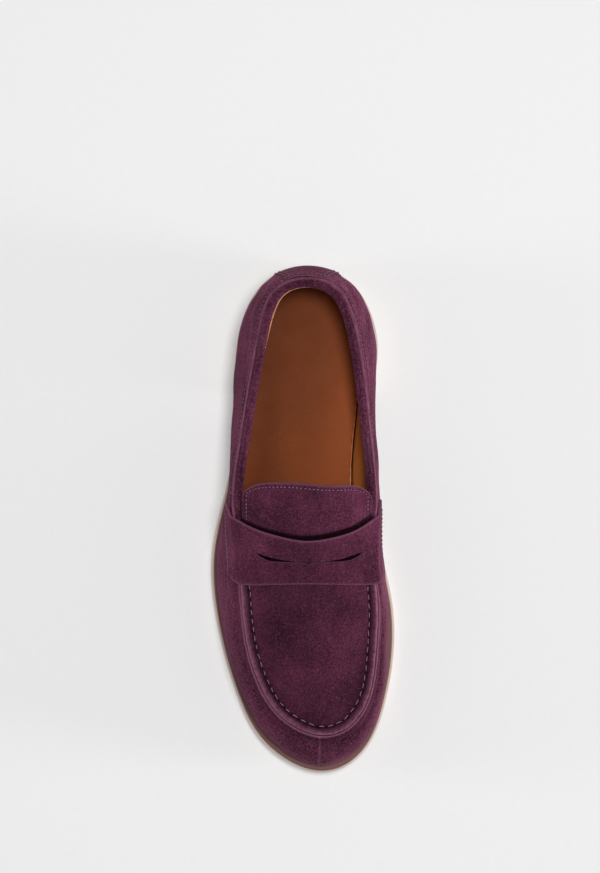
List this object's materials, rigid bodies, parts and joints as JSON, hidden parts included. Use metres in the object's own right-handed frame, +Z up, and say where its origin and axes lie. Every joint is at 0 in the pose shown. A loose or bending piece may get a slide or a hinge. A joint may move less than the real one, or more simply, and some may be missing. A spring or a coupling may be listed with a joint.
{
  "type": "penny loafer",
  "caption": "Slip-on suede penny loafer for a right foot, with a hand-sewn apron toe, slit strap, short tongue, rolled collar, leather footbed and rubber sole with a low heel.",
  "frame": {"origin": "on the ground, under the middle of the shoe's bounding box", "axes": "+Y from toe to heel, +X towards the big-toe (medial) side, +Z up"},
  "size_m": [0.1092, 0.3, 0.088],
  "materials": {
    "outsole_rubber": "cream crepe-look rubber, matt",
    "heel_rubber": "cream rubber, matt, a little darker",
    "welt_leather": "brown leather, edge dressed, satin",
    "cork": "cork sheet",
    "shank_steel": "spring steel",
    "board": "pressed fibre board",
    "foam": "open-cell foam",
    "footbed_leather": "smooth brown leather, semi-gloss",
    "lining_leather": "smooth tan-brown leather, satin",
    "suede": "plum suede with a short nap",
    "canvas": "cotton canvas",
    "seam_thread": "waxed thread, dusty plum",
    "suede_thread": "thread, plum",
    "nail_brass": "plain brass"
  },
  "bodies": {
    "shoe": {"outsole": "outsole_rubber", "midsole": "welt_leather", "heel_block": "outsole_rubber", "heel_top_piece": "heel_rubber", "cork_filler": "cork", "shank": "shank_steel", "insole_board": "board", "footbed_foam": "foam", "footbed": "footbed_leather", "upper_side_lateral": "suede", "upper_side_medial": "suede", "apron": "suede", "strap": "suede", "tongue_base": "suede", "backstay": "suede", "collar_binding": "suede", "collar_foam": "foam", "heel_counter": "board", "toe_puff": "board", "interlining_lateral": "canvas", "interlining_medial": "canvas", "vamp_lining": "canvas", "apron_lining": "canvas", "quarter_lining_lateral": "lining_leather", "quarter_lining_medial": "lining_leather", "heel_lining": "lining_leather", "apron_thread": "seam_thread", "strap_thread_lateral": "suede_thread", "strap_thread_medial": "suede_thread", "backstay_thread_lateral": "suede_thread", "backstay_thread_medial": "suede_thread", "collar_thread": "suede_thread", "heel_nail_1": "nail_brass", "heel_nail_2": "nail_brass", "heel_nail_3": "nail_brass", "heel_nail_4": "nail_brass", "heel_nail_5": "nail_brass"},
    "tongue": {"tongue_flap": "suede", "tongue_flap_lining": "lining_leather", "tongue_thread": "seam_thread"}
  },
  "joints": [
    {"name": "tongue_flex", "type": "hinge", "parent": "shoe", "child": "tongue", "pos_m": [0, 0.008, 0.0841], "axis": [1, 0, 0], "range_deg": [0, 25], "stiffness_Nm_per_rad": 0.03}
  ]
}
